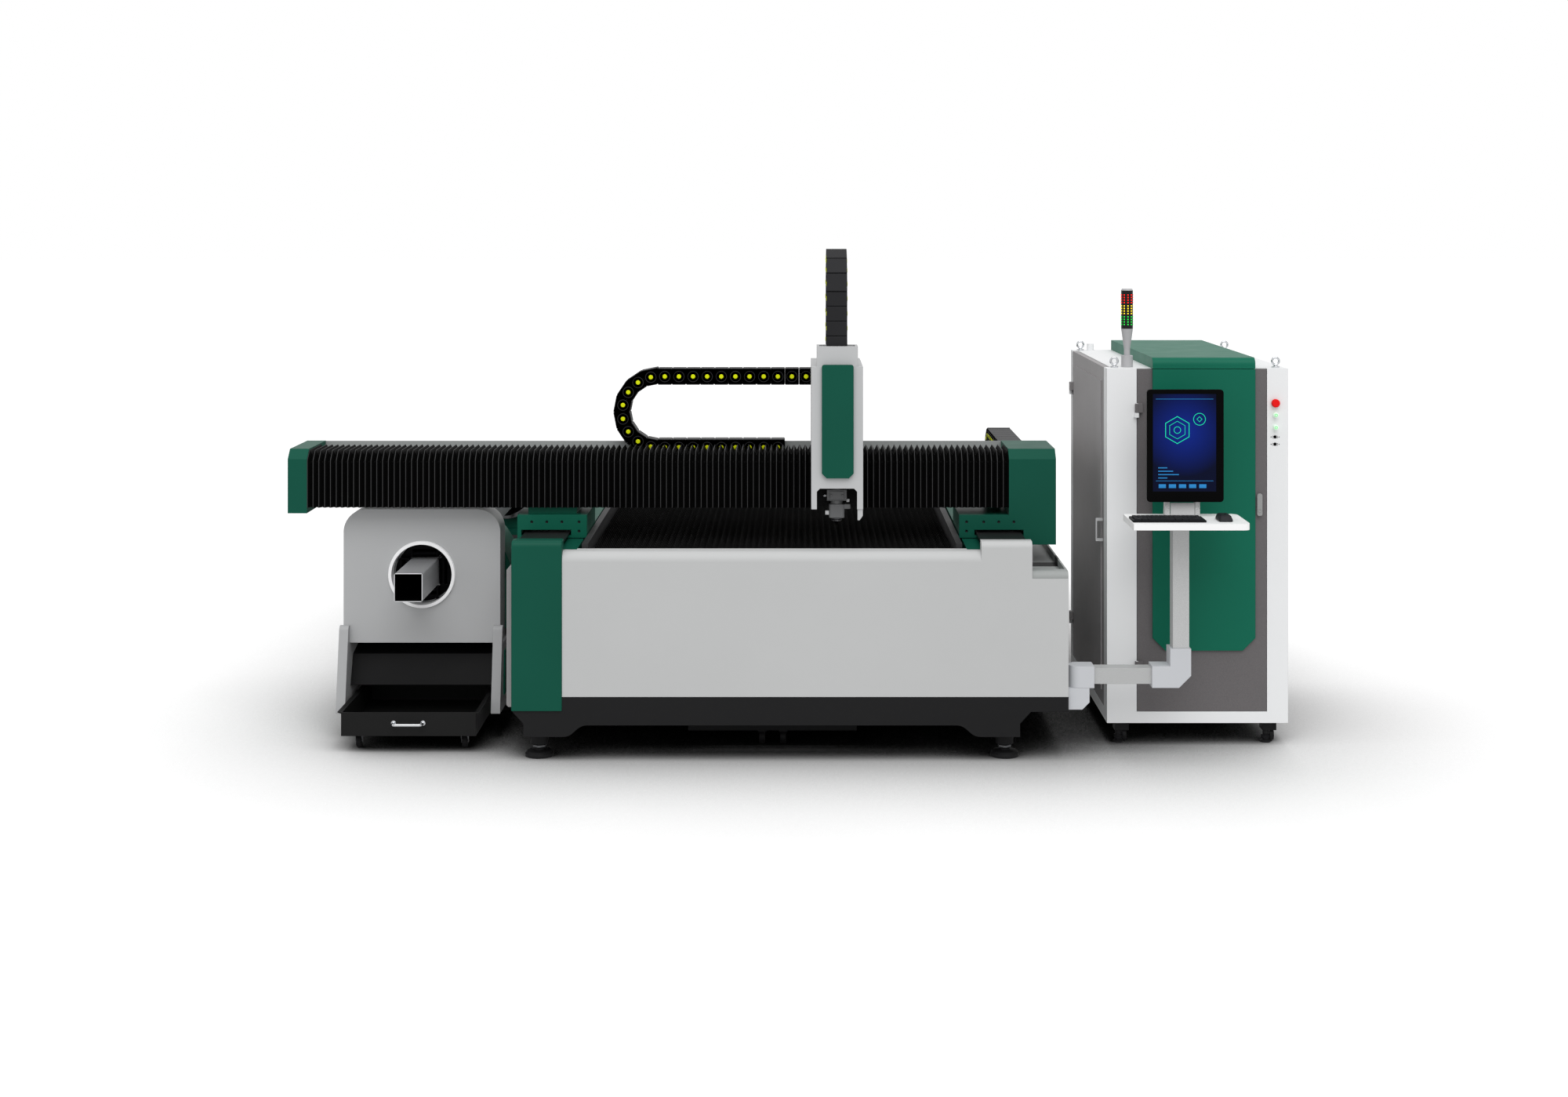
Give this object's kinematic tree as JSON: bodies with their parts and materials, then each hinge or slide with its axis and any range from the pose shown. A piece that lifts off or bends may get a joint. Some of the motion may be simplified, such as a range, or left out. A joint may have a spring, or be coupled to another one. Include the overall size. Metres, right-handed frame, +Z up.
{
  "type": "fiber laser cutting machine",
  "caption": "Gantry laser cutting machine for plate and square tube, with bellows, drag chains, tube chucks, catch trolley, control cabinet and screen arm.",
  "frame": {"origin": "centre of the bounding box on the floor", "axes": "+Z up, +Y away from the operator along the bed, +X to the cabinet side"},
  "size_m": [4.296, 4.07, 2.1177],
  "materials": {
    "green_paint": "satin",
    "cabinet_green": "satin",
    "white_paint": "satin",
    "head_white": "satin",
    "cabinet_white": "satin",
    "black_paint": "satin",
    "trolley_black": "satin",
    "dark_grey_paint": "satin",
    "light_grey_paint": "satin",
    "silver_paint": "satin",
    "arm_grey": "satin",
    "slat_steel": "brushed",
    "rail_steel": "ground",
    "tube_steel": "mill finish",
    "motor_black": "satin",
    "chuck_steel": "turned",
    "chrome": "polished",
    "bellows_black": "folded coated cloth",
    "chain_black": "moulded",
    "caster_rubber": "moulded",
    "head_metal": "anodised",
    "nozzle_brass": "turned",
    "lamp_plastic": "gloss",
    "red_plastic": "gloss",
    "green_plastic": "gloss",
    "monitor_black": "moulded",
    "key_grey": "moulded",
    "foot_steel": "satin"
  },
  "bodies": {
    "root": {"bed_base": "green_paint", "levelling_feet": "foot_steel", "front_panel": "white_paint", "corner_cover": "green_paint", "side_panel": "dark_grey_paint", "chain_trough": "light_grey_paint", "rear_panel": "white_paint", "slat_frame": "silver_paint", "cutting_slats": "slat_steel", "scrap_hopper": "black_paint", "guide_rails": "rail_steel", "rail_covers": "black_paint", "tube_frame": "dark_grey_paint", "tube_hood": "silver_paint", "tube_cheeks": "head_white", "outfeed_chute": "trolley_black", "chuck_housing": "green_paint", "cabinet_frame": "cabinet_white", "cabinet_panels": "dark_grey_paint", "cabinet_roof": "cabinet_green", "lifting_eyes": "rail_steel", "signal_lamp": "lamp_plastic", "cabinet_casters": "foot_steel", "laser_source": "head_white", "arm_base": "arm_grey", "y_chain": "chain_black"},
    "gantry": {"gantry_beam": "light_grey_paint", "beam_end_cap": "green_paint", "left_carriage": "green_paint", "right_bracket": "green_paint", "y_drive_units": "motor_black", "bellows_left": "bellows_black", "bellows_right": "bellows_black", "x_chain": "chain_black"},
    "x_carriage": {"head_housing": "head_white", "head_cover": "green_paint", "z_chain": "chain_black"},
    "z_slide": {"cutting_head": "head_metal", "nozzle": "nozzle_brass"},
    "front_chuck": {"front_chuck": "chuck_steel"},
    "feed_carriage": {"feed_carriage": "green_paint"},
    "rear_chuck": {"rear_chuck": "chuck_steel", "workpiece_tube": "tube_steel"},
    "trolley": {"catch_tray": "trolley_black", "tray_handle": "chrome"},
    "fork_left": {"caster_fork_left": "rail_steel"},
    "fork_right": {"caster_fork_right": "rail_steel"},
    "wheel_left": {"caster_wheel_left": "caster_rubber"},
    "wheel_right": {"caster_wheel_right": "caster_rubber"},
    "scrap_cart": {"scrap_cart": "trolley_black"},
    "front_door": {"front_door": "dark_grey_paint"},
    "side_door": {"side_door": "dark_grey_paint"},
    "front_latch": {"front_latch": "motor_black"},
    "e_stop": {"e_stop": "red_plastic"},
    "start_button": {"start_button": "green_plastic"},
    "stop_button": {"stop_button": "green_plastic"},
    "swing_arm": {"swing_arm": "arm_grey"},
    "panel_post": {"panel_post": "arm_grey", "keyboard_set": "key_grey"},
    "monitor": {"monitor": "monitor_black"}
  },
  "joints": [
    {"name": "gantry_travel", "type": "slide", "parent": "root", "child": "gantry", "axis": [0, 1, 0], "range_m": [0, 3], "deforming": ["y_chain"]},
    {"name": "x_travel", "type": "slide", "parent": "gantry", "child": "x_carriage", "axis": [1, 0, 0], "range_m": [-1.806, 0.477], "deforming": ["bellows_left", "bellows_right", "x_chain"]},
    {"name": "z_travel", "type": "slide", "parent": "x_carriage", "child": "z_slide", "axis": [0, 0, 1], "range_m": [-0.09, 0.03], "deforming": ["z_chain"]},
    {"name": "rear_chuck_spin", "type": "hinge", "parent": "feed_carriage", "child": "rear_chuck", "pos_m": [-1.588, 1.405, 0.695], "axis": [0, 1, 0], "continuous": true},
    {"name": "front_chuck_spin", "type": "hinge", "parent": "root", "child": "front_chuck", "pos_m": [-1.588, -1.115, 0.695], "axis": [0, 1, 0], "continuous": true},
    {"name": "feed_travel", "type": "slide", "parent": "root", "child": "feed_carriage", "axis": [0, -1, 0], "range_m": [0, 1.5]},
    {"name": "trolley_travel", "type": "slide", "parent": "root", "child": "trolley", "axis": [0, -1, 0], "range_m": [0, 0.6]},
    {"name": "caster_swivel_left", "type": "hinge", "parent": "trolley", "child": "fork_left", "pos_m": [-1.813, -1.65, 0.055], "axis": [0, 0, 1], "continuous": true},
    {"name": "caster_spin_left", "type": "hinge", "parent": "fork_left", "child": "wheel_left", "pos_m": [-1.813, -1.634, 0.026], "axis": [1, 0, 0], "continuous": true},
    {"name": "caster_swivel_right", "type": "hinge", "parent": "trolley", "child": "fork_right", "pos_m": [-1.363, -1.65, 0.055], "axis": [0, 0, 1], "continuous": true},
    {"name": "caster_spin_right", "type": "hinge", "parent": "fork_right", "child": "wheel_right", "pos_m": [-1.363, -1.634, 0.026], "axis": [1, 0, 0], "continuous": true},
    {"name": "scrap_cart_travel", "type": "slide", "parent": "root", "child": "scrap_cart", "axis": [0, 1, 0], "range_m": [0, 3.3]},
    {"name": "front_door_hinge", "type": "hinge", "parent": "root", "child": "front_door", "pos_m": [1.501, -1.614, 0.86], "axis": [0, 0, -1], "range_deg": [0, 15]},
    {"name": "side_door_hinge", "type": "hinge", "parent": "root", "child": "side_door", "pos_m": [1.365, -0.508, 0.86], "axis": [0, 0, -1], "range_deg": [0, 8]},
    {"name": "front_latch_turn", "type": "hinge", "parent": "front_door", "child": "front_latch", "pos_m": [2.024, -1.605, 1.06], "axis": [0, -1, 0], "range_deg": [0, 90]},
    {"name": "arm_swing", "type": "hinge", "parent": "root", "child": "swing_arm", "pos_m": [1.225, -1.805, 0.33], "axis": [0, 0, 1], "range_deg": [-90, 0]},
    {"name": "panel_swivel", "type": "hinge", "parent": "swing_arm", "child": "panel_post", "pos_m": [1.647, -1.805, 0.48], "axis": [0, 0, -1], "range_deg": [-20, 20]},
    {"name": "monitor_tilt", "type": "hinge", "parent": "panel_post", "child": "monitor", "pos_m": [1.657, -1.811, 1.105], "axis": [-1, 0, 0], "range_deg": [-5, 15]},
    {"name": "e_stop_press", "type": "slide", "parent": "root", "child": "e_stop", "axis": [0, 1, 0], "range_m": [0, 0.005], "stiffness_N_per_m": 1500, "springref_m": -0.001},
    {"name": "start_button_press", "type": "slide", "parent": "root", "child": "start_button", "axis": [0, 1, 0], "range_m": [0, 0.003], "stiffness_N_per_m": 1500, "springref_m": -0.001},
    {"name": "stop_button_press", "type": "slide", "parent": "root", "child": "stop_button", "axis": [0, 1, 0], "range_m": [0, 0.003], "stiffness_N_per_m": 1500, "springref_m": -0.001}
  ],
  "couplings": [
    {"joint": "front_chuck_spin", "follows": "rear_chuck_spin", "ratio": 1}
  ]
}
